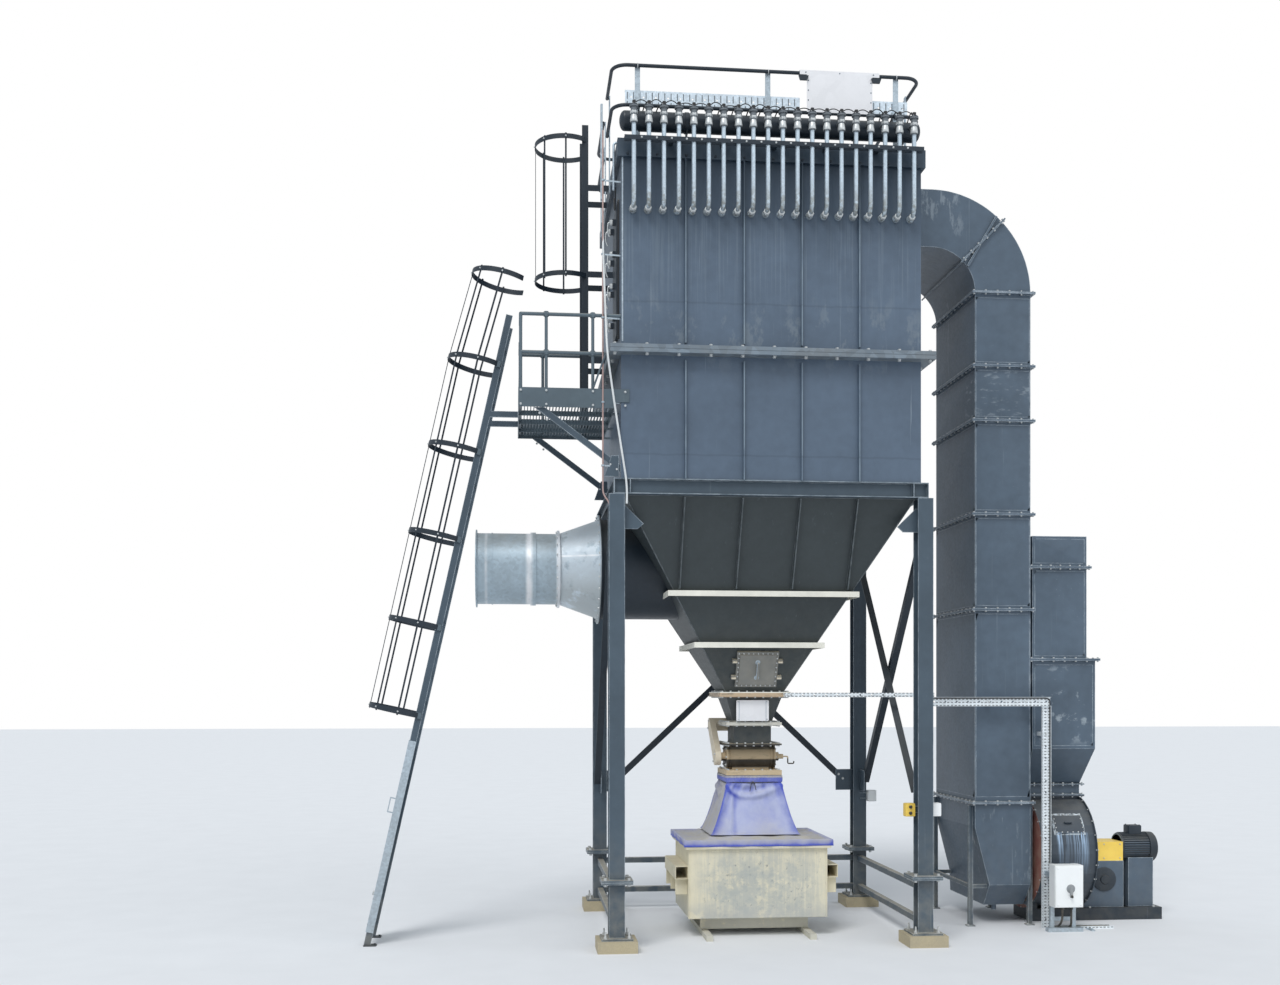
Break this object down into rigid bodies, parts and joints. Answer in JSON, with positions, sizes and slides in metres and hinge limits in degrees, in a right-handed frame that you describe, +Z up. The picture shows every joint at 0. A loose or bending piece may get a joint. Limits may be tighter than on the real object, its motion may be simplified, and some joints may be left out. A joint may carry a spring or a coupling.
{
  "type": "baghouse dust collector",
  "caption": "Pulse-jet filter house on four legs with hopper, rotary valve, dust bin, caged ladders, platform, inlet duct and outlet duct with its fan.",
  "frame": {"origin": "centre of the whole footprint, on the ground", "axes": "+Z up, +X to the right towards the fan, -Y towards the front with the pulse valves"},
  "size_m": [8.4414, 2.8169, 8.538],
  "materials": {
    "frame_paint": "satin, weathered",
    "casing_paint": "satin, rain-streaked",
    "dark_paint": "satin, weathered",
    "galvanised": "matt zinc coating",
    "aluminium_sheet": "plain rolled",
    "dusty_paint": "dusty, matt",
    "bin_paint": "dusty, matt",
    "blue_fabric": "dusty woven sheet",
    "red_oxide": "primer, matt",
    "yellow_paint": "gloss, worn",
    "white_enclosure": "powder coat",
    "grey_plastic": "moulded",
    "grout": "cement grout"
  },
  "bodies": {
    "plant": {"plinths": "grout", "stub_legs": "frame_paint", "columns": "frame_paint", "tie_beams": "frame_paint", "diagonal_braces": "dark_paint", "gusset_plates": "frame_paint", "base_frame": "frame_paint", "lower_casing": "casing_paint", "joint_flange": "galvanised", "upper_casing": "casing_paint", "roof_deck": "galvanised", "access_door": "dark_paint", "pipe_rail": "dark_paint", "air_tank": "dark_paint", "tank_stands": "dark_paint", "pulse_valves": "galvanised", "drop_pipes": "galvanised", "guard_posts": "galvanised", "roof_rails": "dark_paint", "roof_cable_tray": "galvanised", "hung_panel": "aluminium_sheet", "platform_deck": "frame_paint", "platform_rails": "dark_paint", "platform_braces": "frame_paint", "upper_ladder": "dark_paint", "lower_ladder": "dark_paint", "ladder_rungs": "dark_paint", "cage_hoops": "dark_paint", "cage_straps": "dark_paint", "inlet_duct": "galvanised", "inlet_cone": "galvanised", "inlet_spigot": "dark_paint", "hopper": "frame_paint", "hopper_rings": "frame_paint", "inspection_hatch": "dark_paint", "hopper_outlet": "frame_paint", "rotary_valve": "dark_paint", "valve_drive": "dusty_paint", "sleeve": "blue_fabric", "bin_cover": "blue_fabric", "dust_bin": "bin_paint", "fork_pockets": "bin_paint", "bin_skids": "bin_paint", "outlet_elbow": "frame_paint", "outlet_duct": "frame_paint", "outlet_plenum": "frame_paint", "plenum_stand": "frame_paint", "fan_scroll": "frame_paint", "fan_inlet_cone": "red_oxide", "discharge_duct": "frame_paint", "fan_drive": "dark_paint", "drive_guard": "yellow_paint", "fan_base": "dark_paint", "isolator_box": "white_enclosure", "isolator_stand": "galvanised", "duct_cable_tray": "galvanised", "hopper_cable_tray": "galvanised"},
    "guard": {"ladder_guard": "galvanised"},
    "handle": {"isolator_handle": "grey_plastic"}
  },
  "joints": [
    {"name": "guard_hinge", "type": "hinge", "parent": "plant", "child": "guard", "pos_m": [-4.01154, -0.2585, 0.9905], "axis": [-0.2181, 0, -0.9759], "range_deg": [0, 120]},
    {"name": "handle_turn", "type": "hinge", "parent": "plant", "child": "handle", "pos_m": [2.87765, -0.7515, 0.4535], "axis": [0, 1, 0], "range_deg": [0, 90]}
  ]
}
